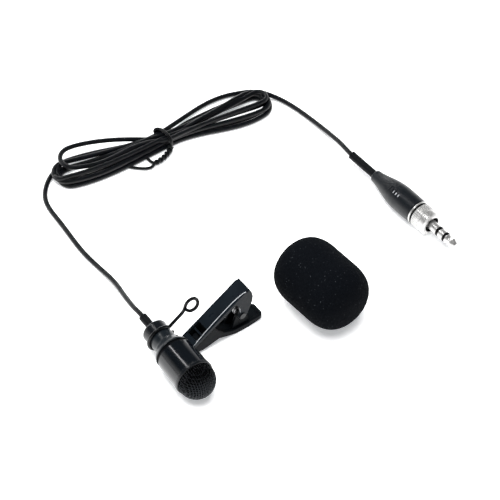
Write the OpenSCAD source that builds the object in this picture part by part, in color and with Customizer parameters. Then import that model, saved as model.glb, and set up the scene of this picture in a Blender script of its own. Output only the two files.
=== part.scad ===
// Lavalier microphone with its tie clip, cable, locking jack plug and foam windscreen.
// Millimetres, +Z up, everything lies on the plane z = 0. The microphone head lies along Y
// with its grille towards -Y, and the clip points towards +X.

/* [Microphone head] */
// Radius of the front body at its rim
body_r = 6.8; // [6:0.1:7]
// Radius of the front body at the joint
body_rear_r = 6.4; // [6.2:0.1:6.6]
// Length of the front body
body_len = 11; // [10.5:0.5:12]
// Radius of the ring that holds the grille
rim_r = 6.9; // [6.8:0.05:7]
// Radius of the wire mesh dome
dome_r = 6.5; // [6.2:0.1:6.6]
// Radius of the neck behind the taper
neck_r = 4.25; // [4.2:0.05:4.4]
// Radius of the groove that the wire ring turns in
groove_r = 4.05; // [3.9:0.05:4.1]
// Turn of the head in the clip, in degrees
head_yaw = -2.2; // [-4:0.2:4]
// Radius of the rear boss
cap_r = 4.4; // [4.3:0.1:4.6]

/* [Clip] */
// Width of both levers
clip_w = 6.3; // [6:0.1:6.6]
// Length of the upper lever
lever_len = 26.6; // [26:0.1:28]
// Rise of the upper lever above the floor plane, in degrees
lever_rise = 31.4; // [31:0.1:32]
// Thickness of the lever plates and cheeks
sheet_t = 0.8; // [0.7:0.05:0.9]
// Radius of the pivot pin
pin_r = 0.7; // [0.6:0.05:0.8]
// Radius of the holder's spring wire
wire_r = 0.55; // [0.5:0.05:0.55]

/* [Cable] */
// Radius of the cable
cable_r = 0.85; // [0.8:0.05:0.9]
// Radius of both strain relief sleeves
sleeve_r = 1.45; // [1.3:0.05:1.5]

/* [Plug] */
// Largest radius of the handle
handle_r = 4.6; // [4.4:0.1:4.8]
// Length of the handle
handle_len = 22.2; // [21:0.2:23]
// Radius of the jack shaft
shaft_r = 1.75; // [1.75]
// Outer radius of the lock nut's knurl
nut_r = 4.4; // [4.2:0.1:4.5]
// Angle of the plug away from -Y, in degrees
plug_yaw = 2.6; // [0:0.2:8]

/* [Windscreen] */
// Outer radius of the foam
foam_r = 12; // [11.5:0.25:12.5]
// Overall length of the foam
foam_len = 31.6; // [30:0.2:34]
// Radius of its bore, which stretches over the head
foam_bore_r = 6.2; // [6:0.1:6.5]
// Depth of the bore
foam_bore_len = 18; // [17:0.5:20]

/* [Hidden] */
$fn = 48;

black = [0.10, 0.11, 0.13];
soft_black = [0.07, 0.07, 0.08];
dark_grey = [0.20, 0.22, 0.24];
nickel = [0.82, 0.82, 0.80];
steel = [0.55, 0.55, 0.56];
cut = 1;                       // how far a cutting shape runs past what it cuts
run_gap = 0.05;                // radial gap of a part that turns on another

// Where the head, the plug and the windscreen lie
mic_pos = [-29.3, 1.8];
clip_pos = [-30, 1.8];
axis_h = rim_r;                // the head rests on its rim
plug_pos = [74.1, 28.5];       // rear end of the handle
foam_pos = [25, -5.3];         // middle of the windscreen
foam_yaw = 4;

// Stations along the head, counted from the joint towards the grille
rim_z = body_len;
rim_front_z = rim_z + 1.2;
dome_z = rim_z + 2;            // centre of the dome
joint_t = 1;
taper_z = -5.2;                // where the taper meets the neck
ring_z = -8.3;                 // plane of the holder's ring
groove_w = 1.2;
cap_z = -9;
cap_end_z = -12.8;
sleeve_end_z = -19.2;
shell_bore = 5.7;
seat_r = 2.9;                  // bore through the rear shell

// Clip, in the plane across the head: x to the handles, y up from the head's axis
nose = [8, -2];                // nose of the upper lever, top edge
pivot = [28, 0.5];
jaw_gap = 0.2;
plate_t = 1.1;
cheek_w = 1.3;                 // depth of the upper lever's side cheeks
hair_y = -4.1;                 // height of the hairpin in the lower nose
hair_r = 1.7;                  // bend radius of the hairpin
hair_x = 12.2;
lobe_mid = -clip_w / 2;
ring_r = groove_r + run_gap + wire_r;
eye_r = 2.45;
eye_at = [11.8, 9.3];

// Plug stations, counted from the handle's rear end towards the tip
collar_z = handle_len + 0.1;
washer_z = handle_len + 0.7;
nut_z = handle_len + 1.45;
nut_len = 6.15;
nut_recess_r = 2.9;
collar_end_z = handle_len + 3.6;
seat_shaft_r = 1.5;            // the shaft inside the collar
flange_r = 2.1;                // flange and clamp inside the handle
ring_a_z = 33.35;              // rear insulator
ring_b_z = 36.65;              // front insulator
band_t = 0.9;

function unit(v) = v / norm(v);
// A place given along and across the upper lever, from its nose
function lever_pt(u, w) = [
  nose.x + u * cos(lever_rise) - w * sin(lever_rise),
  nose.y + u * sin(lever_rise) + w * cos(lever_rise)
];
// Catmull-Rom point between p[i] and p[i + 1]
function spline_pt(p, i, t) =
  let (n = len(p) - 1, a = p[max(i - 1, 0)], b = p[i], c = p[i + 1], d = p[min(i + 2, n)])
  0.5 * (2 * b + (c - a) * t + (2 * a - 5 * b + 4 * c - d) * t ^ 2
         + (3 * b - a - 3 * c + d) * t ^ 3);
function smooth(p, steps) = [
  for (i = [0 : len(p) - 2]) for (k = [0 : steps - 1]) spline_pt(p, i, k / steps),
  p[len(p) - 1]
];

// A round tube swept along a list of points; ref is never along the path
module tube(path, r, sides = 8, ref = [0, 0, 1]) {
  n = len(path);
  rings = [
    for (i = [0 : n - 1])
      let (t = unit(path[min(i + 1, n - 1)] - path[max(i - 1, 0)]),
           a = unit(cross(t, ref)), b = cross(a, t))
      for (k = [0 : sides - 1])
        path[i] + r * (cos(360 * k / sides) * a + sin(360 * k / sides) * b)
  ];
  walls = [
    for (i = [0 : n - 2]) for (k = [0 : sides - 1])
      let (m = (k + 1) % sides, o = i * sides)
      [o + k, o + m, o + sides + m, o + sides + k]
  ];
  ends = [
    [for (k = [sides - 1 : -1 : 0]) k],
    [for (k = [0 : sides - 1]) (n - 1) * sides + k]
  ];
  polyhedron(rings, concat(walls, ends), convexity = 6);
}

// A straight round rod between two points
module rod(a, b, r) {
  d = b - a;
  turn = atan2(d.y, d.x);
  lean = acos(d.z / norm(d));
  translate(a) rotate([0, lean, turn]) cylinder(r = r, h = norm(d));
}

// Bent wire: straight rods, with a bead that closes each corner
module wire(points) {
  last = len(points) - 1;
  for (i = [1 : last]) rod(points[i - 1], points[i], wire_r);
  for (i = [1 : last - 1]) translate(points[i]) sphere(r = wire_r + 0.03, $fn = 24);
}

// A ring of rectangular section from z0 to z1
module collar(r_out, r_in, z0, z1) {
  difference() {
    translate([0, 0, z0]) cylinder(r = r_out, h = z1 - z0);
    translate([0, 0, z0 - cut]) cylinder(r = r_in, h = z1 - z0 + 2 * cut);
  }
}

// Z runs along the head towards the grille, X stays, Y is up
module mic_frame() {
  translate([mic_pos.x, mic_pos.y, axis_h]) rotate([0, 0, head_yaw]) rotate([90, 0, 0])
    children();
}

// Z runs across the clip, X to its handles, Y is up
module clip_frame() {
  translate([clip_pos.x, clip_pos.y, axis_h]) rotate([90, 0, 0]) children();
}

// Z runs along the plug towards its tip
module plug_frame() {
  translate([plug_pos.x, plug_pos.y, handle_r]) rotate([0, 0, plug_yaw]) rotate([90, 0, 0])
    children();
}

// ---- Microphone head ----

module grille_mesh() color(soft_black) mic_frame() difference() {
  union() {
    intersection() {
      translate([0, 0, dome_z]) sphere(r = dome_r);
      translate([0, 0, rim_front_z]) cylinder(r = dome_r + cut, h = 2 * dome_r);
    }
    translate([0, 0, rim_z - 1]) cylinder(r = 6.1, h = rim_front_z - rim_z + 1);
  }
  translate([0, 0, dome_z]) sphere(r = dome_r - 0.35);
  translate([0, 0, rim_z - 1 - cut]) cylinder(r = 5.75, h = 2 + cut);
}

module grille_ring() color(black) mic_frame() rotate_extrude() polygon([
  [6.1, rim_z], [body_r, rim_z], [rim_r, rim_z + 0.1], [rim_r, rim_front_z - 0.3],
  [6.8, rim_front_z - 0.1], [6.6, rim_front_z], [6.1, rim_front_z]
]);

module grille_foam() color(soft_black) mic_frame() difference() {
  union() {
    intersection() {
      translate([0, 0, dome_z]) sphere(r = 6.1);
      translate([0, 0, rim_front_z]) cylinder(r = dome_r, h = 2 * dome_r);
    }
    translate([0, 0, 10.2]) cylinder(r = 5.7, h = 2.6);
  }
  translate([0, 0, dome_z - 0.5]) sphere(r = 4.8);
  translate([0, 0, 9]) cylinder(r = 4.8, h = dome_z - 9.5);
}

module front_shell() color(black) mic_frame() rotate_extrude() polygon([
  [shell_bore, 0], [body_rear_r - 0.3, 0], [body_rear_r, 0.3], [body_r, rim_z],
  [6.15, rim_z], [6.15, rim_z - 1.05], [shell_bore, rim_z - 1.05]
]);

module joint_ring() color(soft_black) mic_frame() collar(6.05, shell_bore, -joint_t, 0);

// Outline of the bell: a quarter cosine from the neck to the joint
module rear_shell() color(dark_grey) mic_frame() rotate_extrude() polygon(concat(
  [[seat_r, 2.2], [shell_bore - 0.02, 2.2], [shell_bore - 0.02, -joint_t]],
  [
    for (k = [0 : 10])
      let (t = k / 10)
      [neck_r + (body_rear_r - 0.1 - neck_r) * (0.5 + 0.5 * cos(180 * t)) ^ 1.2,
       -joint_t + (taper_z + joint_t) * t]
  ],
  [
    [neck_r, ring_z + groove_w / 2], [groove_r, ring_z + groove_w / 2],
    [groove_r, cap_z], [3.2, cap_z], [3.2, cap_z - 2.4], [seat_r, cap_z - 2.4]
  ]
));

module rear_cap() color(black) mic_frame() rotate_extrude() polygon(concat(
  [[3.2, cap_z], [cap_r - 0.1, cap_z]],
  [
    for (k = [0 : 4])
      let (a = 90 * k / 4)
      [cap_r - 0.9 + 0.9 * cos(a), cap_end_z + 0.9 - 0.9 * sin(a)]
  ],
  [[sleeve_r, cap_end_z], [sleeve_r, cap_end_z + 0.6], [3.2, cap_end_z + 0.6]]
));

module mic_capsule() color(nickel) mic_frame() {
  difference() {
    translate([0, 0, 3.6]) cylinder(r = 4.7, h = 6);
    translate([0, 0, 9.2]) cylinder(r = 1, h = 1);
  }
}

module capsule_boot() color(soft_black) mic_frame() collar(5.65, 4.7, 3.4, 9.8);

module capsule_board() color([0.1, 0.3, 0.15]) mic_frame()
  translate([0, 0, 2.6]) cylinder(r = 4.5, h = 1);

module capsule_leads() color([0.6, 0.15, 0.1]) mic_frame()
  for (side = [-1, 1]) translate([side, 0, -9.4]) cylinder(r = 0.35, h = 12);

module cable_anchor() color(steel) mic_frame() translate([0, 0, -11.4])
  cylinder(r = 2.2, h = 2);

// Sleeve outside, a flange that locks it inside the cap, and the cable's bore
module mic_strain_relief() color(soft_black) mic_frame() difference() {
  union() {
    translate([0, 0, sleeve_end_z]) cylinder(r = sleeve_r, h = cap_end_z - sleeve_end_z + 1);
    translate([0, 0, cap_end_z + 0.6]) cylinder(r = 2.6, h = 0.8);
  }
  translate([0, 0, cap_end_z - 4]) cylinder(r = cable_r, h = 6);
}

// ---- Clip ----

// A place on the head, in the clip's frame
function on_clip(p) = [
  mic_pos.x - clip_pos.x + p.x * cos(head_yaw) + p.z * sin(head_yaw),
  p.y,
  clip_pos.y - mic_pos.y - p.x * sin(head_yaw) + p.z * cos(head_yaw)
];

// Ring round the neck and a bent tail with its eyelet, then the arm and the hairpin that
// sits in the clip's nose
module wire_holder() color(soft_black) {
  mic_frame() translate([0, 0, ring_z]) {
    rotate_extrude() translate([ring_r, 0]) circle(r = wire_r, $fn = 24);
    translate([eye_at.x, eye_at.y, 0]) rotate_extrude() translate([eye_r, 0])
      circle(r = wire_r, $fn = 24);
    rod([ring_r * cos(44), ring_r * sin(44), 0], [8.35, 6.91, 0], wire_r);
    rod([8.1, 6.65, 0], [9.5, 8.7, 0], wire_r);
  }
  clip_frame() {
    wire([
      on_clip([ring_r * cos(-30), ring_r * sin(-30), ring_z]), [7.2, -2.6, ring_z],
      [7.4, hair_y, lobe_mid - hair_r], [hair_x, hair_y, lobe_mid - hair_r]
    ]);
    rod([hair_x - 2.6, hair_y, lobe_mid + hair_r], [hair_x, hair_y, lobe_mid + hair_r], wire_r);
    translate([hair_x, hair_y, lobe_mid]) rotate([90, 0, 0]) rotate([0, 0, -90])
      rotate_extrude(angle = 180) translate([hair_r, 0]) circle(r = wire_r, $fn = 24);
  }
}

// A flat outline in the clip's plane, as thick as t, starting at depth z
module slab(z, t, outline) translate([0, 0, z]) linear_extrude(t) polygon(outline);

module pin_hole(r) translate([pivot.x, pivot.y, -clip_w - cut])
  cylinder(r = r, h = clip_w + 2 * cut);

module clip_lower_jaw() color(black) clip_frame() difference() {
  under = [
    [8.6, -5.4], [12, -5.9], [15.5, -5.3], [18.6, -4.6], [23, -6.1], [26, -6.85],
    [30, -6.85], [33, -6.5]
  ];
  top_front = lever_pt(0.3, -cheek_w - jaw_gap);
  top_rear = lever_pt(9.4, -cheek_w - jaw_gap);
  union() {
    // bottom plate and thumb pad
    slab(-clip_w, clip_w, concat(
      under, [[33, -5.4]], [for (k = [6 : -1 : 0]) [under[k].x, under[k].y + 1]]
    ));
    intersection() {
      slab(-clip_w, clip_w, [[30, -6.85], [33, -6.5], [36.6, -5.8], [36.6, -4.5], [31, -4.7]]);
      translate([0, 1, 0]) rotate([90, 0, 0]) linear_extrude(9) {
        translate([30, -clip_w]) square([5, clip_w]);
        translate([30, -clip_w + 1.6]) square([6.6, clip_w - 3.2]);
        for (s = [-clip_w + 1.6, -1.6]) translate([35, s]) circle(r = 1.6);
      }
    }
    // outer cheeks: deep at the nose, then a low flange that runs to the pad
    for (s = [-clip_w, -sheet_t]) slab(s, sheet_t, concat(
      [for (k = [0 : 5]) under[k]],
      [
        [31, -6.85], [31, -5], [26.4, -4.8], [23.8, -4.6], [20.3, -2.9], [17.6, 0.2],
        top_rear, top_front
      ]
    ));
    // nose block, and the ears round the pin
    slab(-clip_w, clip_w, [
      under[0], under[1], under[2], [16.4, -4.9], top_rear, top_front
    ]);
    for (s = [-clip_w + 0.95, -0.95 - sheet_t]) slab(s, sheet_t, [
      [24, -5.6], [31.4, -5.6], [30.8, -2.5], [29.9, 0.6], [28.6, 2.3], [27.3, 2.3],
      [26.1, 0.6], [25, -2.8]
    ]);
  }
  pin_hole(pin_r);
  // pocket for the hairpin, with an island that it hooks round
  difference() {
    translate([7.8, hair_y - wire_r, lobe_mid - hair_r - wire_r])
      cube([6.9, 8, 2 * (hair_r + wire_r)]);
    translate([9.3, hair_y - wire_r - cut, lobe_mid - hair_r + wire_r])
      cube([2.9, 8 + 2 * cut, 2 * (hair_r - wire_r)]);
  }
  // recess in the thumb pad
  translate([32, -4.9, -clip_w + 1.1]) cube([3.4, 1, clip_w - 2.2]);
}

module clip_upper_jaw() color(dark_grey) clip_frame() difference() {
  translate([nose.x, nose.y, 0]) rotate([0, 0, lever_rise]) {
    rotate([90, 0, 0]) linear_extrude(plate_t) difference() {
      union() {
        translate([0, -clip_w]) square([lever_len - 1.6, clip_w]);
        translate([0, -clip_w + 1.6]) square([lever_len, clip_w - 3.2]);
        for (s = [-clip_w + 1.6, -1.6]) translate([lever_len - 1.6, s]) circle(r = 1.6);
      }
      translate([2.2, -clip_w + sheet_t]) square([5.2, clip_w - 2 * sheet_t]);
    }
    for (s = [-clip_w, -sheet_t]) {
      slab(s, sheet_t, [
        [0, -0.6], [0.3, -cheek_w], [19.8, -cheek_w], [19.9, -3.4], [19.3, -5.5],
        [17.2, -7.2], [16.9, -9.2], [18.2, -9.9], [19.8, -9.6], [21.6, -8.2], [24, -6.5],
        [25.5, -4.8], [26.4, -2.4], [lever_len, -0.6]
      ]);
    }
    // grip teeth under the nose
    for (k = [0 : 2]) translate([0.7 + 0.6 * k, -plate_t, lobe_mid - 1])
      rotate([0, 0, -135]) cube([0.25, 0.25, 2]);
    // bar across the window
    translate([4.5, -plate_t, -clip_w]) cube([0.6, 0.6, clip_w]);
  }
  pin_hole(pin_r + run_gap);
}

module clip_pin() color(steel) clip_frame() {
  translate([pivot.x, pivot.y, -clip_w - 0.1]) cylinder(r = pin_r, h = clip_w + 0.2);
  for (s = [-clip_w - 0.4, 0.1]) translate([pivot.x, pivot.y, s])
    cylinder(r = 1.15, h = 0.3);
}

// Two and a half coils round the pin, and a leg to each lever
module clip_spring() color(steel) clip_frame() {
  coil_r = 1.5;
  turns = 2.5;
  s0 = -4.2;
  pitch = 0.85;
  coil = [
    for (a = [0 : 30 : 360 * turns])
      [pivot.x - coil_r * cos(a), pivot.y - coil_r * sin(a), s0 + pitch * a / 360]
  ];
  leg_end = lever_pt(22.6, -plate_t - 0.45);
  tube(concat(
    [[leg_end.x, leg_end.y, s0], [pivot.x - coil_r, pivot.y + 2.4, s0]],
    coil,
    [[29.4, -3.2, s0 + pitch * turns], [29.6, -5.3, s0 + pitch * turns]]
  ), 0.25, 6);
}

// ---- Cable ----

mic_route = [
  [-28.6, 21, 6.9], [-28.5, 22.2, 6.9], [-28.5, 23.4, 6.85], [-28.4, 26.5, 6.2],
  [-27.8, 30, 5.2], [-27.2, 33.4, 4.3], [-26.5, 36.7, 3.5], [-25.8, 39.9, 2.7],
  [-25.4, 43, 2.1], [-25.2, 46, 1.6], [-25.3, 49, 1.2], [-25.5, 53, 0.9],
  [-25.9, 58, 0.9], [-25.9, 63, 0.9], [-25.3, 70, 0.9], [-24.6, 77, 0.9],
  [-24.4, 83, 0.9], [-23.6, 87.7, 0.9], [-22, 91.1, 0.9], [-19, 94.7, 0.9],
  [-15.2, 97.6, 0.9], [-12.5, 98.6, 0.9]
];
plug_route = [
  [66.5, 87, 3.2], [68.6, 85, 2.5], [70.9, 82.4, 1.4], [72.7, 78.8, 0.9],
  [74.1, 72.3, 0.9], [74.9, 64.3, 1.2], [74.9, 55.4, 2.5], [74.4, 49, 3.8],
  [73.7, 44.2, 4.5], [73.6, 42.6, 4.6], [73.5, 41, 4.6]
];

module cable_to_mic() color(black) tube(smooth(mic_route, 2), cable_r);

module cable_to_plug() color(black) tube(smooth(plug_route, 2), cable_r);

// The folded cable: two lobes, pinched by the tie
module cable_hank() color(black) linear_extrude(4.8) polygon([
  [25.8, 91], [22, 94.4], [14.3, 98.1], [8, 101.4], [1.8, 104.7], [-3.8, 105.8],
  [-7.4, 104.8], [-8.8, 102.7], [-9, 100.2], [-13.6, 98.6], [-15.5, 95.7], [-14.5, 91.4],
  [-11.8, 87.4], [-6.9, 85.3], [-1.4, 84.2], [4.7, 84], [14, 84.1], [25.8, 84.8],
  [34.6, 84], [43.4, 81.2], [50.6, 79.1], [56.1, 77.6], [61, 77.1], [64.5, 78.2],
  [67.2, 80.7], [68.7, 85.2], [68.6, 87.5], [63.7, 91.1], [58.6, 93.2], [53.1, 94.7],
  [47, 95.4], [42.1, 94.6], [36.6, 93], [30, 91.2]
]);

// Band over the pinched hank, and its twisted ends
module twist_tie() color(soft_black) {
  translate([25.8, 87.9, 0]) rotate([0, 0, -6]) difference() {
    translate([-1.2, -3.9, 0]) cube([2.4, 7.8, 5.6]);
    translate([-1.2 - cut, -3.1, -cut]) cube([2.4 + 2 * cut, 6.2, 4.8 + cut]);
  }
  tube(smooth([
    [26, 84.6, 1.6], [25, 83.2, 1], [22.6, 81.9, 0.75], [19.5, 81.2, 0.75],
    [16.4, 80.8, 0.75], [13.8, 81.3, 0.75], [11.8, 82.8, 0.75]
  ], 2), 0.75);
}

// ---- Plug ----

module plug_strain_relief() color(soft_black) plug_frame() difference() {
  union() {
    translate([0, 0, -12.5]) cylinder(r = sleeve_r, h = 15.5);
    translate([0, 0, 3]) cylinder(r = flange_r, h = 0.8);
  }
  translate([0, 0, -7]) cylinder(r = cable_r, h = 12);
}

// Outer radius of the handle at station z: a waist, a swell, then almost straight
function handle_at(z) = 2.2 + (handle_r - 2.2) * (0.5 - 0.5 * cos(180 * min(z / 14, 1))) ^ 0.8;

module plug_handle() color(black) plug_frame() {
  rotate_extrude() polygon(concat(
    [[sleeve_r, 0], [1.95, 0]],
    [for (z = [0.4, 2, 4, 6, 8, 10, 12, 14]) [handle_at(z), z]],
    [
      [handle_r, 18.5], [handle_r - 0.1, handle_len - 0.2], [handle_r - 0.25, handle_len],
      [3, handle_len], [3, 10], [flange_r + 0.05, 8.4], [flange_r + 0.05, 3], [sleeve_r, 3]
    ]
  ));
  // three short grip ribs on two sides
  for (side = [0, 1], k = [0 : 2])
    translate([0, 0, 10.3 + 1.35 * k]) rotate([0, 0, 180 * side + 118 - 10])
      rotate_extrude(angle = 20) translate([handle_at(10.3 + 1.35 * k) - 0.1, 0])
        circle(r = 0.34);
}

module plug_flange() color(nickel) plug_frame() collar(4.45, 2.4, collar_z, washer_z);

module plug_washer() color(soft_black) plug_frame() collar(4.1, 2.4, washer_z, washer_z + 0.6);

// Barrel fixed in the handle; its front lip keeps the nut on
module plug_collar() color(nickel) plug_frame() difference() {
  union() {
    translate([0, 0, handle_len - 3]) cylinder(r = 3, h = 3);
    translate([0, 0, handle_len]) cylinder(r = 2.4, h = collar_end_z - handle_len);
    translate([0, 0, nut_z + 1.6]) cylinder(r = 2.75, h = 0.55);
  }
  translate([0, 0, handle_len - 3 - cut]) cylinder(r = seat_shaft_r, h = 9);
}

// The nut: rear lip, knurled band, groove, smooth front and a threaded recess
module lock_nut() color(nickel) plug_frame() difference() {
  rotate_extrude() polygon([
    [2.4 + run_gap, nut_z], [nut_r - 0.15, nut_z], [nut_r, nut_z + 0.15],
    [nut_r, nut_z + 3.1], [nut_r - 0.35, nut_z + 3.3], [nut_r - 0.35, nut_z + 3.7],
    [nut_r - 0.1, nut_z + 3.85], [nut_r - 0.1, nut_z + 5.7], [nut_r - 0.7, nut_z + nut_len],
    [nut_recess_r, nut_z + nut_len], [nut_recess_r, nut_z + 1.45],
    [2.4 + run_gap, nut_z + 1.45]
  ]);
  for (k = [0 : 35]) rotate([0, 0, 10 * k]) translate([nut_r + 0.12, 0, nut_z - cut])
    cylinder(r = 0.28, h = 3.3 + cut, $fn = 16);
}

// The shaft's shoulder stands on the collar's front face
module plug_sleeve() color(nickel) plug_frame() {
  collar(seat_shaft_r, 1.3, handle_len - 3, collar_end_z);
  collar(shaft_r, 1.3, collar_end_z, ring_a_z);
}

module insulator_rear() color(soft_black) plug_frame() {
  collar(shaft_r, 1, ring_a_z, ring_a_z + band_t);
  collar(1.3, 1, handle_len - 3.6, ring_a_z);
}

module plug_ring() color(nickel) plug_frame() {
  collar(shaft_r, 0.75, ring_a_z + band_t, ring_b_z);
  collar(1, 0.75, handle_len - 4.2, ring_a_z + band_t);
}

module insulator_front() color(soft_black) plug_frame() {
  collar(shaft_r, 0.45, ring_b_z, ring_b_z + band_t);
  collar(0.75, 0.45, handle_len - 4.8, ring_b_z);
}

// Rod inside, and the tip with its neck, shoulder and rounded point
module plug_tip() color(nickel) plug_frame() rotate_extrude() polygon(concat(
  [[0, handle_len - 5.4], [0.45, handle_len - 5.4], [0.45, ring_b_z + band_t]],
  [
    [shaft_r, ring_b_z + band_t], [shaft_r, 37.9], [1.25, 38.7], [1.3, 39.2],
    [1.65, 40.1], [1.7, 40.3], [1.6, 40.6], [0.95, 41.9]
  ],
  [for (k = [1 : 3]) [0.95 * cos(30 * k), 41.9 + 0.4 * sin(30 * k)]]
));

module solder_terminals() color(nickel) plug_frame() {
  z_end = handle_len - 3;
  translate([1.35, -0.6, z_end - 4]) cube([0.35, 1.2, 4]);
  translate([-1.75, -0.6, z_end - 5]) cube([0.35, 1.2, 4.4]);
  translate([-0.6, 1.35, z_end - 6]) cube([1.2, 0.35, 4.8]);
}

module cable_clamp() color(steel) plug_frame() collar(flange_r, cable_r, 4.4, 8);

// ---- Windscreen ----

// Foam cover with a blind bore for the head, open towards +Y. Its outline is a superellipse
// quarter at each end.
module foam_windscreen() color(soft_black)
  translate([foam_pos.x, foam_pos.y, foam_r]) rotate([0, 0, foam_yaw]) rotate([90, 0, 0])
  difference() {
    half = foam_len / 2;
    end = 11.4;                // length of a rounded end
    power = 2 / 2.8;
    rotate_extrude() polygon(concat(
      [
        for (a = [0 : 10 : 90])
          [foam_r * sin(a) ^ power, -half + end - end * cos(a) ^ power]
      ],
      [
        for (a = [90 : -10 : 0])
          [foam_r * sin(a) ^ power, half - end + end * cos(a) ^ power]
      ]
    ));
    translate([0, 0, -half - cut]) cylinder(r = foam_bore_r, h = foam_bore_len + cut);
  }

grille_mesh();
grille_ring();
grille_foam();
front_shell();
joint_ring();
rear_shell();
rear_cap();
mic_capsule();
capsule_boot();
capsule_board();
capsule_leads();
cable_anchor();
mic_strain_relief();
wire_holder();
clip_lower_jaw();
clip_upper_jaw();
clip_pin();
clip_spring();
cable_to_mic();
cable_hank();
cable_to_plug();
twist_tie();
plug_strain_relief();
plug_handle();
plug_flange();
plug_washer();
plug_collar();
lock_nut();
plug_sleeve();
insulator_rear();
plug_ring();
insulator_front();
plug_tip();
solder_terminals();
cable_clamp();
foam_windscreen();
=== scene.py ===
"""Looks of the lavalier microphone, its clip, cable, jack plug and foam windscreen.

Everything is in metres in the CAD model's frame. Lengths are written in millimetres and
multiplied by MM.
"""

import math

import bpy
from mathutils import Matrix, Vector, noise


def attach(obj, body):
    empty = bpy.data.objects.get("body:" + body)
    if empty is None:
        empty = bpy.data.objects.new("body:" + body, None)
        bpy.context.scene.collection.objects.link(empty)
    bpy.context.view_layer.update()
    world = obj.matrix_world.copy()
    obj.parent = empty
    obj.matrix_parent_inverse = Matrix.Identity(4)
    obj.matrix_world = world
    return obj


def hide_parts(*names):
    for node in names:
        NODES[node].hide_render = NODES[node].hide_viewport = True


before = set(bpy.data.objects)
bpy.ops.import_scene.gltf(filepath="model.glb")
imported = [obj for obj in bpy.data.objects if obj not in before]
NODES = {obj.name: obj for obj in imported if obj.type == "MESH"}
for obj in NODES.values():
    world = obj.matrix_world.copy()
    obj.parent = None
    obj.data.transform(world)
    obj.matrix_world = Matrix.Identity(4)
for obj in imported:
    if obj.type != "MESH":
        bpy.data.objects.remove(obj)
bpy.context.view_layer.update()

MM = 0.001


# ---- Frames of the sub-assemblies, as in the CAD model ----


def placed(x, y, z, yaw):
    """A frame whose Z lies along -Y turned by yaw degrees, and whose Y is up."""
    turn = Matrix.Rotation(math.radians(yaw), 4, "Z") @ Matrix.Rotation(math.pi / 2, 4, "X")
    return Matrix.Translation((x, y, z)) @ turn


MIC = placed(-29.3, 1.8, 6.9, -2.2)
CLIP = placed(-30, 1.8, 6.9, 0)
PLUG = placed(74.1, 28.5, 4.6, 2.6)
FOAM = placed(25, -5.3, 12, 4)


def to_world(place, p):
    return (place @ Vector(p)) * MM


# ---- Making meshes and curves ----


def link(name, data):
    obj = bpy.data.objects.new(name, data)
    bpy.context.scene.collection.objects.link(obj)
    return obj


def mesh_piece(name, points, faces, material, smooth=True):
    mesh = bpy.data.meshes.new(name)
    mesh.from_pydata([tuple(p) for p in points], [], faces)
    mesh.validate()
    mesh.update()
    if smooth:
        mesh.polygons.foreach_set("use_smooth", [True] * len(mesh.polygons))
    mesh.materials.append(material)
    return link(name, mesh)


def curve_piece(name, lines, radius, material, kind="NURBS", closed=False, bevel=4):
    """Round wires along lists of points given in world metres."""
    curve = bpy.data.curves.new(name, "CURVE")
    curve.dimensions = "3D"
    curve.bevel_depth = radius
    curve.bevel_resolution = bevel
    curve.resolution_u = 6
    curve.use_fill_caps = True
    for line in lines:
        spline = curve.splines.new(kind)
        spline.points.add(len(line) - 1)
        for point, place in zip(spline.points, line):
            point.co = (*place, 1)
        if kind == "NURBS":
            spline.order_u = 4
            spline.use_endpoint_u = not closed
        spline.use_cyclic_u = closed
        spline.use_smooth = True
    curve.materials.append(material)
    return link(name, curve)


def lathe(name, profile, place, material, steps=96, smooth=True):
    """Turns a closed outline of (radius, z) about a frame's Z."""
    points, faces = [], []
    count = len(profile)
    for i in range(steps):
        a = 2 * math.pi * i / steps
        for r, z in profile:
            points.append(to_world(place, (r * math.cos(a), r * math.sin(a), z)))
    for i in range(steps):
        j = (i + 1) % steps
        for k in range(count):
            m = (k + 1) % count
            faces.append((i * count + k, i * count + m, j * count + m, j * count + k))
    return mesh_piece(name, points, faces, material, smooth)


def tube_mesh(lines, radius, sides=6):
    """Points and faces of round tubes along polylines of world points."""
    points, faces = [], []
    for line in lines:
        first = len(points)
        count = len(line)
        for i, p in enumerate(line):
            along = (line[min(i + 1, count - 1)] - line[max(i - 1, 0)]).normalized()
            side = along.orthogonal().normalized() if i == 0 else side - along * side.dot(along)
            side.normalize()
            up = along.cross(side)
            for k in range(sides):
                a = 2 * math.pi * k / sides
                points.append(p + (side * math.cos(a) + up * math.sin(a)) * radius)
        for i in range(count - 1):
            for k in range(sides):
                m = (k + 1) % sides
                a, b = first + i * sides, first + (i + 1) * sides
                faces.append((a + k, a + m, b + m, b + k))
        faces.append(tuple(first + k for k in range(sides - 1, -1, -1)))
        faces.append(tuple(first + (count - 1) * sides + k for k in range(sides)))
    return points, faces


# ---- Materials ----


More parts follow.
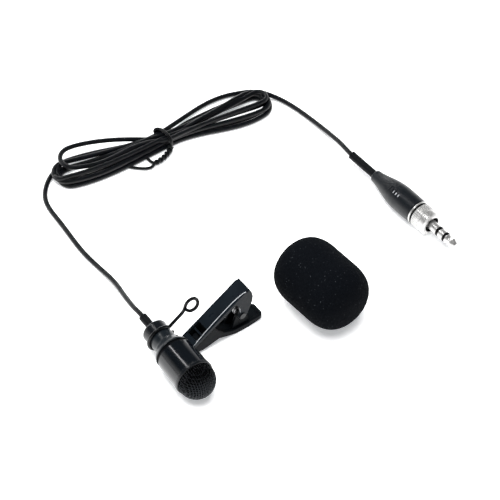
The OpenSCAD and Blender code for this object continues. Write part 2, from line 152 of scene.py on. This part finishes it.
class Nodes:
    """A material's node tree with a few shorthands."""

    def __init__(self, name):
        self.material = bpy.data.materials.new(name)
        self.material.use_nodes = True
        self.tree = self.material.node_tree
        self.shader = self.tree.nodes["Principled BSDF"]
        coords = self.add("ShaderNodeTexCoord")
        self.place = coords.outputs["Object"]

    def add(self, kind, **values):
        node = self.tree.nodes.new(kind)
        for key, value in values.items():
            setattr(node, key, value)
        return node

    def link(self, source, target):
        self.tree.links.new(source, target)

    def noise(self, scale, detail=3.0, rough=0.55, stretch=None):
        node = self.add("ShaderNodeTexNoise")
        node.inputs["Scale"].default_value = scale
        node.inputs["Detail"].default_value = detail
        node.inputs["Roughness"].default_value = rough
        if stretch:
            mapping = self.add("ShaderNodeMapping")
            mapping.inputs["Scale"].default_value = stretch
            self.link(self.place, mapping.inputs["Vector"])
            self.link(mapping.outputs["Vector"], node.inputs["Vector"])
        else:
            self.link(self.place, node.inputs["Vector"])
        return node.outputs["Fac"]

    def cells(self, scale):
        node = self.add("ShaderNodeTexVoronoi", feature="F1")
        node.inputs["Scale"].default_value = scale
        self.link(self.place, node.inputs["Vector"])
        return node.outputs["Distance"]

    def remap(self, value, low, high, to_low, to_high):
        node = self.add("ShaderNodeMapRange")
        for key, number in zip(
            ("From Min", "From Max", "To Min", "To Max"), (low, high, to_low, to_high)
        ):
            node.inputs[key].default_value = number
        self.link(value, node.inputs["Value"])
        return node.outputs["Result"]

    def ramp(self, value, *stops):
        node = self.add("ShaderNodeValToRGB")
        ramp = node.color_ramp
        while len(ramp.elements) < len(stops):
            ramp.elements.new(0.5)
        for element, (at, color) in zip(ramp.elements, stops):
            element.position = at
            element.color = (*color, 1)
        self.link(value, node.inputs["Fac"])
        return node.outputs["Color"]

    def bump(self, value, distance, strength=1.0, after=None):
        node = self.add("ShaderNodeBump")
        node.inputs["Distance"].default_value = distance
        node.inputs["Strength"].default_value = strength
        self.link(value, node.inputs["Height"])
        if after is not None:
            self.link(after, node.inputs["Normal"])
        return node.outputs["Normal"]

    def soft_edges(self, radius):
        node = self.add("ShaderNodeBevel", samples=6)
        node.inputs["Radius"].default_value = radius
        return node.outputs["Normal"]

    def done(self, color=None, rough=None, normal=None, **plain):
        for socket, value in (("Base Color", color), ("Roughness", rough), ("Normal", normal)):
            if value is not None:
                self.link(value, self.shader.inputs[socket])
        for key, value in plain.items():
            self.shader.inputs[key.replace("_", " ")].default_value = value
        return self.material


def shade(color, factor):
    return tuple(min(1.0, c * factor) for c in color)


def moulded(name, color, rough, grain=900, depth=0.00002, edge=0.0, coat=0.0, spread=0.08,
            specular=0.32):
    """Painted or moulded black: slow colour drift, uneven gloss, fine grain."""
    n = Nodes(name)
    drift = n.noise(120, 2.0)
    fine = n.noise(grain, 4.0)
    tint = n.ramp(drift, (0.3, shade(color, 0.82)), (0.7, shade(color, 1.2)))
    gloss = n.remap(n.noise(400, 3.0), 0.3, 0.7, rough - spread / 2, rough + spread / 2)
    rounded = n.soft_edges(edge) if edge else None
    normal = n.bump(fine, depth, 0.6, rounded)
    plain = {"Specular_IOR_Level": specular}
    if coat:
        plain["Coat_Weight"] = coat
        plain["Coat_Roughness"] = 0.08
    return n.done(tint, gloss, normal, **plain)


def metal(name, color, rough, brushed=(1, 1, 1), edge=0.0, metallic=1.0):
    """Plated or brushed metal with fine drawn lines and faint tarnish."""
    n = Nodes(name)
    drift = n.noise(260, 3.0)
    scratch = n.noise(1600, 3.0, stretch=brushed)
    tint = n.ramp(drift, (0.3, shade(color, 0.9)), (0.72, shade(color, 1.04)))
    gloss = n.remap(scratch, 0.3, 0.7, rough * 0.7, rough * 1.5)
    rounded = n.soft_edges(edge) if edge else None
    normal = n.bump(scratch, 0.000012, 0.5, rounded)
    return n.done(tint, gloss, normal, Metallic=metallic)


def foam_material():
    """Open cells: near black, with sparse specks where a cell wall catches the light."""
    n = Nodes("foam")
    speck = n.remap(n.cells(1300), 0.05, 0.3, 1.0, 0.0)
    grain = n.noise(3200, 4.0, 0.7)
    catch = n.add("ShaderNodeMath", operation="MULTIPLY")
    n.link(speck, catch.inputs[0])
    n.link(n.remap(n.noise(700, 2.0), 0.46, 0.68, 0.0, 1.0), catch.inputs[1])
    total = n.add("ShaderNodeMath", operation="ADD")
    n.link(catch.outputs[0], total.inputs[0])
    n.link(n.remap(grain, 0.3, 0.75, 0.0, 0.3), total.inputs[1])
    tint = n.ramp(total.outputs[0], (0.0, (0.0012, 0.0016, 0.0024)), (0.3, (0.0045, 0.0054, 0.007)),
                  (1.0, (0.05, 0.055, 0.06)))
    normal = n.bump(total.outputs[0], 0.00015, 0.8)
    return n.done(tint, n.remap(n.noise(140, 2.0), 0.3, 0.7, 0.85, 0.97), normal,
                  Specular_IOR_Level=0.03)


def board_material():
    n = Nodes("board")
    weave = n.add("ShaderNodeTexBrick")
    weave.inputs["Scale"].default_value = 900
    n.link(n.place, weave.inputs["Vector"])
    tint = n.ramp(weave.outputs["Fac"], (0.0, (0.02, 0.12, 0.04)), (1.0, (0.03, 0.2, 0.07)))
    return n.done(tint, n.remap(n.noise(700), 0.3, 0.7, 0.35, 0.5),
                  n.bump(weave.outputs["Fac"], 0.00001))


BODY = moulded("body", (0.0022, 0.0034, 0.005), 0.15, grain=700, depth=0.000012, coat=0.2,
               spread=0.05, specular=0.45)
TAPER = moulded("taper", (0.006, 0.0085, 0.011), 0.3, grain=1500, depth=0.00001, spread=0.06,
                specular=0.4)
CAP = moulded("cap", (0.0035, 0.0045, 0.006), 0.24, edge=0.0002, spread=0.06, specular=0.45)
DARK = moulded("dark_ring", (0.001, 0.0013, 0.0018), 0.6, specular=0.1)
GRILLE_WIRE = metal("grille_wire", (0.036, 0.04, 0.044), 0.26)
GRILLE_FOAM = moulded("grille_foam", (0.0008, 0.0009, 0.001), 0.95, grain=3000, depth=0.0002,
                      specular=0.05)
RUBBER = moulded("rubber", (0.0035, 0.004, 0.0048), 0.45, grain=2600, depth=0.00002,
                 edge=0.00025, specular=0.09)
CLIP_TOP = moulded("clip_top", (0.0055, 0.008, 0.011), 0.3, grain=1100, depth=0.00002,
                   edge=0.00015, specular=0.09)
# The lower jaw's plastic is darker than the upper jaw's: painted shade, as little light reaches in
# under the upper lever.
CLIP_BOTTOM_SHADED = moulded("clip_bottom_shaded", (0.0035, 0.0045, 0.0055), 0.42, grain=1300,
                      depth=0.00003, edge=0.00015, specular=0.05)
# Light grey beads on the clip lever's bent edges and ear corners: a painted highlight, not a finish
# of the lever.
PAINTED_EDGE_HIGHLIGHT = moulded("painted_edge_highlight", (0.45, 0.47, 0.49), 0.25, specular=0.6)
WIRE = moulded("black_wire", (0.0015, 0.002, 0.0025), 0.22, grain=2400, depth=0.00001)
STEEL = metal("steel", (0.5, 0.5, 0.51), 0.25, (1, 6, 1))
CABLE = moulded("cable", (0.0018, 0.0023, 0.0032), 0.4, grain=3600, depth=0.000003, spread=0.04,
                specular=0.36)
TIE = moulded("tie", (0.0025, 0.003, 0.0035), 0.3, grain=1500, depth=0.00002)
HANDLE = moulded("handle", (0.003, 0.0042, 0.006), 0.4, grain=1500, depth=0.00002,
                 edge=0.00015, specular=0.38)
# Light grey grip bars: the raised ribs are real, their pale colour is a painted highlight.
BARS_PAINTED_HIGHLIGHT = moulded("grip_bars_painted_highlight", (0.35, 0.36, 0.38), 0.25, grain=1500, depth=0.00001)
NICKEL = metal("nickel", (0.7, 0.695, 0.685), 0.28, (1, 9, 1), edge=0.00006, metallic=0.82)
# Near-black thread inside the nut's mouth: painted shade in the hollow.
THREAD_PAINTED_SHADE = metal("thread", (0.03, 0.03, 0.03), 0.4)
INSULATOR = moulded("insulator", (0.001, 0.001, 0.0012), 0.5, specular=0.12)
LEAD = moulded("lead", (0.35, 0.03, 0.02), 0.4)
BOARD = board_material()
FOAM_LOOK = foam_material()

LOOKS = {
    "grille_ring": CAP, "grille_foam": GRILLE_FOAM, "front_shell": BODY, "joint_ring": DARK,
    "rear_shell": TAPER, "rear_cap": CAP, "mic_capsule": STEEL, "capsule_boot": RUBBER,
    "capsule_board": BOARD, "capsule_leads": LEAD, "cable_anchor": STEEL,
    "mic_strain_relief": RUBBER, "clip_lower_jaw": CLIP_BOTTOM_SHADED, "clip_upper_jaw": CLIP_TOP,
    "clip_pin": WIRE, "plug_strain_relief": RUBBER, "plug_handle": HANDLE,
    "plug_flange": NICKEL, "plug_washer": INSULATOR, "plug_collar": INSULATOR,
    "lock_nut": NICKEL, "plug_sleeve": NICKEL, "insulator_rear": INSULATOR,
    "plug_ring": NICKEL, "insulator_front": INSULATOR, "plug_tip": NICKEL,
    "solder_terminals": NICKEL, "cable_clamp": STEEL,
}
for name, material in LOOKS.items():
    mesh = NODES[name].data
    mesh.materials.clear()
    mesh.materials.append(material)


# ---- Camera and cord first ----

TARGET = Vector((20.97, 29.21, 0)) * MM
AZIMUTH, ELEVATION, DISTANCE = math.radians(-36), math.radians(48), 0.9
to_camera = Vector((
    math.sin(AZIMUTH) * math.cos(ELEVATION),
    -math.cos(AZIMUTH) * math.cos(ELEVATION),
    math.sin(ELEVATION),
))
camera_data = bpy.data.cameras.new("camera")
camera_data.sensor_width = 36
camera_data.lens = 190.5
camera = link("camera", camera_data)
camera.location = TARGET + to_camera * DISTANCE
camera.rotation_euler = to_camera.to_track_quat("Z", "Y").to_euler()
bpy.context.scene.camera = camera

CABLE_R = 0.85
MIC_ROUTE = [
    (-28.6, 21, 6.9), (-28.5, 22.2, 6.9), (-28.5, 23.4, 6.85), (-28.4, 26.5, 6.2),
    (-27.8, 30, 5.2), (-27.2, 33.4, 4.3), (-26.5, 36.7, 3.5), (-25.8, 39.9, 2.7),
    (-25.4, 43, 2.1), (-25.2, 46, 1.6), (-25.3, 49, 1.2), (-25.5, 53, 0.9),
    (-25.9, 58, 0.9), (-25.9, 63, 0.9), (-25.3, 70, 0.9), (-24.6, 77, 0.9),
    (-24.4, 83, 0.9), (-23.6, 87.7, 0.9), (-22, 91.1, 0.9), (-19, 94.7, 0.9),
    (-15.2, 97.6, 0.9), (-12.5, 98.6, 0.9),
]
PLUG_ROUTE = [
    (66.5, 87, 3.2), (68.6, 85, 2.5), (70.9, 82.4, 1.4), (72.7, 78.8, 0.9),
    (74.1, 72.3, 0.9), (74.9, 64.3, 1.2), (74.9, 55.4, 2.5), (74.4, 49, 3.8),
    (73.7, 44.2, 4.5), (73.6, 42.6, 4.6), (73.5, 41, 4.6),
]
HANK_ENTRY = [(-8, 97.2, 0.9), (0, 94.6, 1.4), (9, 91.9, 2.3), (17, 90.6, 3.2)]
HANK_EXIT = [
    (33, 87.6, 2.6), (42, 87.2, 3.9), (51, 87.5, 4), (58.5, 88.4, 3.9), (63.5, 88.2, 3.6),
]

# Eleven strands pass through the tie. Each lane is how far across and how high it lies.
TIE_AT = (25.8, 87.9)
LANES = [
    (2.2, 3.5), (-2.4, 0.85), (0.8, 0.85), (-1.6, 2.3), (2.4, 0.85), (-0.8, 0.85),
    (0.8, 3.75), (-0.7, 3.75), (1.6, 2.3), (-2.2, 3.6), (0, 2.3),
]
# A fold: reach from the tie, then for its far and near leg how far it stands off the line a
# third of the way out, two thirds and at the end, then heights: far leg, end, end, near leg
RIGHT_FOLDS = [
    (42.9, (6.5, 9.3, 7.2), (-2.8, -6.2, -6.8), (1.2, 0.9, 0.9, 0.9)),
    (42.4, (4.3, 4.7, 4.9), (-2.1, -4.5, -5.8), (0.9, 1.8, 2.6, 2.6)),
    (41.0, (3.2, 3.4, 3.2), (-0.8, -4.0, -4.5), (0.9, 0.9, 0.9, 0.9)),
    (41.0, (1.6, 2.6, 3.6), (-0.6, -1.5, -2.9), (2.6, 2.5, 2.4, 2.4)),
    (41.8, (1.0, 1.5, 3.0), (-1.9, -2.5, -3.2), (2.7, 3.6, 4.0, 4.0)),
]
LEFT_FOLDS = [
    (40.2, (1.6, 2.2, 2.0), (-4.7, -6.6, -6.5), (0.9, 0.9, 0.9, 0.9)),
    (41.6, (3.6, 5.0, 4.9), (-3.9, -6.0, -5.6), (0.9, 2.2, 2.4, 2.4)),
    (40.0, (2.0, 3.0, 4.4), (-1.6, -3.6, -3.4), (2.5, 2.5, 0.9, 0.9)),
    (41.6, (1.4, 1.6, 2.4), (-2.8, -4.2, -4.0), (0.9, 0.9, 3.9, 3.6)),
    (37.4, (3.8, 7.5, 9.1), (-0.3, -2.5, -1.6), (3.8, 3.8, 4.0, 4.0)),
]
RIGHT_HEADING, LEFT_HEADING = -5.5, 169
LEG_STATIONS = (0.12, 0.3, 0.48, 0.66, 0.84)
# A leg reaches its own height this far along, and its end's height at the end
LEVEL_AT = 0.4
LONGEST_CAP = 6
CAP_STEPS = 6


def stand_off(lane, third, two_thirds, end, s):
    """The cubic through four offsets, evenly spaced along a leg."""
    x = 3 * s
    return (lane * (1 - x) * (2 - x) * (3 - x) / 6 + third * x * (2 - x) * (3 - x) / 2
            + two_thirds * x * (x - 1) * (3 - x) / 2 + end * x * (x - 1) * (x - 2) / 6)


def leg(lane, offsets, length, z_leg, z_end):
    """Points (along, across, up) of one leg, from the tie outwards."""
    points = []
    for s in LEG_STATIONS:
        if s < LEVEL_AT:
            up = lane[1] + (z_leg - lane[1]) * s / LEVEL_AT
        else:
            up = z_leg + (z_end - z_leg) * (s - LEVEL_AT) / (1 - LEVEL_AT)
        points.append((s * length, stand_off(lane[0], *offsets, s), up))
    return points


def fold(lane_out, lane_back, heading, reach, out, back, heights):
    """Out along one leg, round the end, and back along the other."""
    half = abs(out[2] - back[2]) / 2
    middle = (out[2] + back[2]) / 2
    sign = 1 if out[2] > back[2] else -1
    cap = min(half, LONGEST_CAP)
    length = reach - cap
    points = leg(lane_out, out, length, heights[0], heights[1])
    for k in range(CAP_STEPS + 1):
        a = math.pi * (0.5 - k / CAP_STEPS)
        up = heights[1] + (heights[2] - heights[1]) * k / CAP_STEPS
        points.append((length + cap * math.cos(a), middle + sign * half * math.sin(a), up))
    points += leg(lane_back, back, length, heights[3], heights[2])[::-1]
    c, s = math.cos(math.radians(heading)), math.sin(math.radians(heading))
    flip = -1 if c < 0 else 1
    return [
        (TIE_AT[0] + u * c - flip * v * s, TIE_AT[1] + u * s + flip * v * c, z)
        for u, v, z in points
    ]


def at_tie(lane):
    return (TIE_AT[0], TIE_AT[1] + lane[0], lane[1])


def hank():
    points = HANK_ENTRY + [at_tie(LANES[0])]
    for i, (right, left) in enumerate(zip(RIGHT_FOLDS, LEFT_FOLDS)):
        a, b, c = LANES[2 * i : 2 * i + 3]
        points += fold(a, b, RIGHT_HEADING, *right) + [at_tie(b)]
        reach, far, near, z = left
        points += fold(b, c, LEFT_HEADING, reach, near, far, z[::-1]) + [at_tie(c)]
    return points + HANK_EXIT


route = [Vector(p) * MM for p in MIC_ROUTE + hank() + PLUG_ROUTE]
cable = curve_piece("cable", [route], CABLE_R * MM, CABLE, bevel=5)
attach(cable, "microphone")
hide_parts("cable_to_mic", "cable_hank", "cable_to_plug")

# ---- Twist tie ----

# The loop round the bundle: across and up, from the twisted ends over the top and under
LOOP = [
    (0.6, -4.0, 1.5), (0.85, -4.1, 2.6), (1.05, -3.6, 4.3), (1.1, -2.0, 5.15),
    (1.0, 0.2, 5.3), (0.85, 2.2, 5.1), (0.4, 3.5, 4.5), (-0.3, 4.05, 3.2), (-0.5, 3.8, 1.6),
    (-0.2, 2.9, 0.7), (0.0, 1.2, 0.6), (0.1, -1.2, 0.6), (0.2, -2.9, 0.7), (0.4, -3.9, 1.2),
]
KNOT = [(0.5, 2.7, 5.0), (-0.2, 3.6, 5.0), (-1.0, 4.0, 4.4), (-1.1, 3.8, 3.5), (-0.6, 3.5, 2.6)]
TWIST = [(26.3, 84.0, 1.6), (25.3, 83.0, 1.5), (23.7, 82.2, 1.4), (21.9, 81.5, 1.3),
         (19.8, 81.1, 1.2), (17.6, 81.0, 1.1)]
UPPER_END = [(16.9, 82.0, 1.0), (16.8, 83.6, 0.8), (16.9, 85.2, 0.7)]
LOWER_END = [(16.2, 80.3, 0.7), (14.4, 80.6, 0.65), (12.4, 82.0, 0.65), (10.4, 84.0, 0.65),
             (9.0, 85.6, 0.65)]
TIE_R = 0.56
TWIST_PITCH, TWIST_R, TWIST_STEPS = 3.4, 0.62, 4


def about_tie(points):
    return [Vector((TIE_AT[0] + u, TIE_AT[1] + v, z)) * MM for u, v, z in points]


def twisted(path, phase):
    """One of the two twisted strands, about a polyline given in millimetres."""
    points, gone = [], 0.0
    for i in range(len(path) - 1):
        a, b = Vector(path[i]), Vector(path[i + 1])
        along = (b - a).normalized()
        side = along.cross(Vector((0, 0, 1))).normalized()
        up = side.cross(along)
        for k in range(TWIST_STEPS):
            reached = gone + (b - a).length * k / TWIST_STEPS
            turn = 2 * math.pi * reached / TWIST_PITCH + phase
            offset = side * math.cos(turn) + up * math.sin(turn)
            points.append((a.lerp(b, k / TWIST_STEPS) + offset * TWIST_R) * MM)
        gone += (b - a).length
    return points


loop = about_tie(LOOP)
strand_a = twisted(TWIST, 0) + [Vector(p) * MM for p in UPPER_END]
strand_b = twisted(TWIST, math.pi) + [Vector(p) * MM for p in LOWER_END]
tie = curve_piece("twist_tie_wire", [loop + [strand_a[0]], about_tie(KNOT), strand_a, strand_b],
                  TIE_R * MM, TIE)
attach(tie, "microphone")
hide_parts("twist_tie")


# ---- Grille: woven wire over the dome ----

DOME_R, DOME_Z, RIM_Z = 6.33, 13, 12.1
MESH_PITCH, MESH_WIRE_R, MESH_WAVE = 0.76, 0.14, 0.06
EDGE_GAP = 0.25


def grille():
    lines = []
    count = int(DOME_R / MESH_PITCH)
    for family in (0, 1):
        for k in range(-count, count + 1):
            fixed = (k + 0.5) * MESH_PITCH
            if abs(fixed) > DOME_R - EDGE_GAP:
                continue
            ring = math.sqrt(DOME_R**2 - fixed**2)
            reach = math.acos(max(-1.0, (RIM_Z - DOME_Z) / ring)) if ring > 0.9 else math.pi
            steps = max(6, int(2 * reach * ring / (MESH_PITCH / 2)))
            line = []
            for i in range(steps + 1):
                t = -reach + 2 * reach * i / steps
                moving = ring * math.sin(t)
                wave = math.cos(math.pi * moving / MESH_PITCH) * (-1) ** (k + family)
                lift = 1 + MESH_WAVE * wave / DOME_R
                x, y = (fixed, moving) if family == 0 else (moving, fixed)
                z = DOME_Z + ring * math.cos(t) * lift
                line.append(to_world(MIC, (x * lift, y * lift, z)))
            lines.append(line)
    points, faces = tube_mesh(lines, MESH_WIRE_R * MM, 5)
    piece = mesh_piece("grille_weave", points, faces, GRILLE_WIRE)
    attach(piece, "microphone")
    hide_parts("grille_mesh")


grille()


# ---- Wire holder and spring ----

RING_Z, RING_R, WIRE_R = -8.3, 4.65, 0.6
EYE = [
    (9.27, 8.8), (9.55, 10.3), (10.1, 11.5), (11.4, 12.35), (12.9, 12.1), (13.9, 10.9),
    (14.2, 9.3), (14.0, 7.9), (12.95, 6.95), (11.4, 6.9), (10.15, 7.8), (9.35, 9.1),
    (9.05, 9.5),
]


def wire_holder():
    ring = [
        to_world(MIC, (RING_R * math.cos(a), RING_R * math.sin(a), RING_Z))
        for a in (math.radians(44 + 6.5 * k) for k in range(0, 50))
    ]
    tail = [(3.35, 3.3), (4.9, 4.5), (6.4, 5.75), (8.0, 6.9), (8.9, 7.9)] + EYE
    tail = [to_world(MIC, (x, y, RING_Z + 0.06 * i)) for i, (x, y) in enumerate(tail)]
    nose_y, mid, bend_r, bend_x = -4.1, -3.15, 1.7, 12.2
    arm = [(4.2, -2.1, -8.3), (5.6, -2.4, -8.3), (6.9, -2.7, -8.0), (7.3, -3.3, -7.0),
           (7.4, -3.9, -5.8), (7.7, nose_y, -4.9), (8.8, nose_y, -4.85), (10.5, nose_y, -4.85)]
    bend = [
        (bend_x + bend_r * math.cos(a), nose_y, mid + bend_r * math.sin(a))
        for a in (math.radians(-90 + 22.5 * k) for k in range(9))
    ]
    arm = [to_world(CLIP, p) for p in arm + bend + [(9.6, nose_y, mid + bend_r)]]
    piece = curve_piece("wire_ring_holder", [ring, tail, arm], WIRE_R * MM, WIRE)
    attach(piece, "clip")
    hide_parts("wire_holder")


def spring():
    pivot, coil_r, wire_r = (28, 0.5), 1.5, 0.25
    start, pitch, turns, turn_steps = -4.2, 0.85, 2.5, 12
    points = [(26.9, 8.6, start), (26.2, 4.4, start), (26.3, 2.4, start)]
    for k in range(int(turns * turn_steps) + 1):
        a = 2 * math.pi * k / turn_steps
        points.append((pivot[0] - coil_r * math.cos(a), pivot[1] - coil_r * math.sin(a),
                       start + pitch * k / turn_steps))
    points += [(29.4, -3.2, start + pitch * turns), (29.6, -5.3, start + pitch * turns)]
    piece = curve_piece("torsion_spring", [[to_world(CLIP, p) for p in points]],
                        wire_r * MM, STEEL, bevel=3)
    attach(piece, "clip")
    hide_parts("clip_spring")


wire_holder()
spring()


# ---- Small parts of the clip and the plug ----

NOSE, RISE, CLIP_W = (8, -2), math.radians(31.4), 6.3
HIGHLIGHT_BEAD_R = 0.14


def on_lever(u, w, z):
    """A place along, above and across the upper lever."""
    x = NOSE[0] + u * math.cos(RISE) - w * math.sin(RISE)
    y = NOSE[1] + u * math.sin(RISE) + w * math.cos(RISE)
    return to_world(CLIP, (x, y, z))


def lever_edge_highlights():
    """Light grey beads along each bent edge of the upper lever, and on its ears' corners: a painted
    highlight for the light those edges catch.

    The far ones lie a little inside the lever, so that the wire's eyelet passes when the jaw opens.
    """
    bow = [(0.8, 0.2), (3, 0.5), (6, 0.74), (11, 0.95), (14.5, 1.03), (19.3, 1.05), (22, 0.85),
           (24.2, 0.55), (25.2, 0.1)]
    near = [on_lever(u, 0, -inset) for u, inset in bow]
    sunk = 0.1
    far = [on_lever(u, -0.2 - inset / 2, sunk - CLIP_W) for u, inset in bow]
    ear = [(19.7, -3.7), (19.42, -4.9), (18.8, -5.9)]
    ears = [[on_lever(u, w, z) for u, w in ear] for z in (-sunk, sunk - CLIP_W)]
    points, faces = tube_mesh([near, far] + ears, HIGHLIGHT_BEAD_R * MM, 10)
    piece = mesh_piece("lever_edge_painted_highlight", points, faces, PAINTED_EDGE_HIGHLIGHT)
    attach(piece, "clip_lever")


def nut_thread():
    """The thread inside the nut's mouth, and the near-black wall behind it: both dark as painted
    shade inside the mouth.
    """
    z0, z1, outer, inner, pitch, turn_steps = 25.3, 29.7, 2.93, 2.66, 0.5, 36
    turns = (z1 - z0) / pitch
    thread_r = outer - 0.1
    line = []
    for i in range(int(turns * turn_steps) + 1):
        a = 2 * math.pi * i / turn_steps
        line.append(to_world(PLUG, (thread_r * math.cos(a), thread_r * math.sin(a),
                                    z0 + pitch * i / turn_steps)))
    points, faces = tube_mesh([line], (outer - inner) / 2 * MM, 6)
    thread = mesh_piece("nut_thread", points, faces, THREAD_PAINTED_SHADE)
    # A near-black wall just inside the nut's bore: painted shade.
    wall_r = outer - 0.04
    mouth = lathe("nut_mouth_painted_shade", [(wall_r, z0), (wall_r, z1), (thread_r, z1), (thread_r, z0)],
                  PLUG, DARK)
    for piece in (thread, mouth):
        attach(piece, "nut")


def grip_bars_painted_highlight():
    """Three short raised bars on each side of the handle, coloured light grey: a painted highlight
    on the glossy ribs.
    """
    first_z, spacing, bars, bar_r, proud = 12.6, 1.2, 3, 0.2, 0.08
    lines = []
    for side in (124, 304):
        for k in range(bars):
            z = first_z + spacing * k
            # The handle's radius at this height, as in the CAD model
            r = 2.2 + 2.4 * (0.5 - 0.5 * math.cos(math.pi * min(z / 14, 1))) ** 0.8 + proud
            lines.append([
                to_world(PLUG, (r * math.cos(a), r * math.sin(a), z))
                for a in (math.radians(side - 6 + 2 * i) for i in range(7))
            ])
    points, faces = tube_mesh(lines, bar_r * MM, 8)
    piece = mesh_piece("grip_bars_painted_highlight", points, faces, BARS_PAINTED_HIGHLIGHT)
    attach(piece, "microphone")


def insulator_bands():
    """Black bands, a little proud of the plug's shaft."""
    shaft_r, width, slope = 1.75, 1.2, 0.1
    inner, corner, proud = shaft_r - 0.3, shaft_r - 0.02, shaft_r + 0.03
    for name, z in (("rear_band", 33.8), ("front_band", 37.1)):
        low, high = z - width / 2, z + width / 2
        profile = [(inner, low), (corner, low), (proud, low + slope), (proud, high - slope),
                   (corner, high), (inner, high)]
        piece = lathe(name, profile, PLUG, INSULATOR)
        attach(piece, "microphone")


lever_edge_highlights()
nut_thread()
grip_bars_painted_highlight()
insulator_bands()


# ---- Foam windscreen ----


# Scale and share of each size of unevenness in the foam's skin, and the most it rises
SKIN_NOISE = ((1.9, 0.5), (0.55, 0.35), (4.1, 0.4))
SKIN_RELIEF, SKIN_TOP = 0.14, 0.25


def foam():
    """A superellipse of revolution with a blind bore, roughened by open cells."""
    half, end, outer_r, power, clearance = 15.8, 11.4, 11.93, 2 / 2.8, 0.08
    bore_r, bore_z = 6.2, 2.2
    end_steps, side_steps, bore_steps, steps = 64, 14, 14, 300
    cap = []
    for k in range(end_steps + 1):
        a = math.pi / 2 * k / end_steps
        cap.append((outer_r * math.sin(a) ** power,
                    half - clearance - end + end * math.cos(a) ** power))
    side = [(outer_r, (half - end) * (1 - 2 * k / side_steps)) for k in range(1, side_steps)]
    mouth_cap = [(r, -z) for r, z in reversed(cap) if r > bore_r]
    mouth_z = mouth_cap[-1][1]
    bore = [(bore_r + 0.05, mouth_z + 0.15)]
    bore += [(bore_r, mouth_z + (bore_z - mouth_z) * k / bore_steps)
             for k in range(1, bore_steps + 1)]
    bore += [(bore_r * f, bore_z) for f in (0.75, 0.5, 0.25)]
    profile = cap + side + mouth_cap + bore
    points, faces = [to_world(FOAM, (0, 0, profile[0][1]))], []
    count = len(profile) - 1
    for i in range(steps):
        a = 2 * math.pi * i / steps
        for k, (r, z) in enumerate(profile[1:]):
            local = Vector((r * math.cos(a), r * math.sin(a), z))
            if k < count - len(bore):
                cell = sum(noise.noise(local * scale) * share for scale, share in SKIN_NOISE)
                outward = Vector((local.x, local.y, local.z * 0.55)).normalized()
                local += outward * (SKIN_RELIEF * min(cell, SKIN_TOP))
            points.append(to_world(FOAM, local))
    points.append(to_world(FOAM, (0, 0, bore_z)))
    for i in range(steps):
        a, b = 1 + i * count, 1 + (i + 1) % steps * count
        faces.append((0, a, b))
        for k in range(count - 1):
            faces.append((a + k, a + k + 1, b + k + 1, b + k))
        faces.append((a + count - 1, len(points) - 1, b + count - 1))
    piece = mesh_piece("foam_cover", points, faces, FOAM_LOOK)
    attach(piece, "windscreen")
    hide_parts("foam_windscreen")


foam()


# ---- Floor and light ----


def stage():
    """White paper over a light table, which glows more where the lamp reaches less."""
    n = Nodes("paper")
    tint = n.ramp(n.noise(40, 2.0), (0.3, (0.9, 0.9, 0.9)), (0.7, (0.93, 0.93, 0.93)))
    away = n.add("ShaderNodeVectorMath", operation="LENGTH")
    n.link(n.place, away.inputs[0])
    glow = n.remap(away.outputs["Value"], 0.4, 1.3, 0.4, 1.0)
    n.link(glow, n.shader.inputs["Emission Strength"])
    paper = n.done(tint, n.remap(n.noise(90), 0.3, 0.7, 0.7, 0.8), Specular_IOR_Level=0.05,
                   Emission_Color=(0.96, 0.98, 1.0, 1))
    size, below = 4.0, 0.00002
    corners = [(-size, -size, 0), (size, -size, 0), (size, size, 0), (-size, size, 0)]
    floor = mesh_piece("floor", corners, [(0, 1, 2, 3)], paper, smooth=False)
    floor.location.z = -below


def lamp(name, place, target, size, power, size_y=None):
    data = bpy.data.lights.new(name, "AREA")
    data.energy = power
    data.size = size
    if size_y:
        data.shape = "RECTANGLE"
        data.size_y = size_y
    obj = link(name, data)
    obj.location = place
    obj.rotation_euler = (Vector(place) - Vector(target)).to_track_quat("Z", "Y").to_euler()
    return obj


def studio_world():
    """White walls round a dark ceiling, so that black parts have dark reflections from above."""
    world = bpy.data.worlds.new("world")
    world.use_nodes = True
    tree = world.node_tree
    background = tree.nodes["Background"]
    background.inputs["Color"].default_value = (1, 1, 1, 1)
    direction = tree.nodes.new("ShaderNodeTexCoord")
    split = tree.nodes.new("ShaderNodeSeparateXYZ")
    height = tree.nodes.new("ShaderNodeMapRange")
    for key, number in (("From Min", 0.16), ("From Max", 0.45), ("To Min", 1.0), ("To Max", 0.05)):
        height.inputs[key].default_value = number
    tree.links.new(direction.outputs["Generated"], split.inputs["Vector"])
    tree.links.new(split.outputs["Z"], height.inputs["Value"])
    tree.links.new(height.outputs["Result"], background.inputs["Strength"])
    bpy.context.scene.world = world


stage()
MIDDLE = (0.02, 0.03, 0)
lamp("overhead", (-0.05, 0.1, 1.1), MIDDLE, 1.0, 26).visible_glossy = False
lamp("strip", (-0.2, 0.6, 0.85), MIDDLE, 0.07, 2.2, 0.9)
lamp("back_strip", (0.42, 1.05, 0.42), MIDDLE, 0.5, 2.2, 0.08)
studio_world()
bpy.context.scene.view_settings.view_transform = "Standard"
